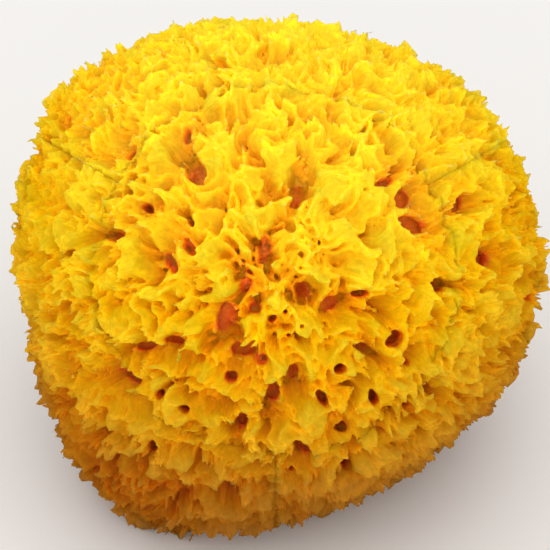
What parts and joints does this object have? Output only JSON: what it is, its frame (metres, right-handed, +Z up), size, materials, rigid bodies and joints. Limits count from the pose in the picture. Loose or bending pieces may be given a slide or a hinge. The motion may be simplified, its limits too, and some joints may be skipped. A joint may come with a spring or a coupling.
{
  "type": "natural sea sponge",
  "caption": "Ball-shaped natural bath sponge with ragged wool-like tufts, deep pores and clefts, cut off flat at its base so that it stands.",
  "frame": {"origin": "middle of the footprint of the outer box, on the flat cut", "axes": "+Z up out of the cut; the best side, as in the picture, faces -Y and 38 degrees up; +X is its right"},
  "size_m": [0.1402, 0.1408, 0.1248],
  "materials": {
    "sponge_flesh": "matt, fibrous, golden yellow at the tips and orange-brown in the pores"
  },
  "bodies": {
    "root": {"sponge": "sponge_flesh"}
  },
  "joints": []
}
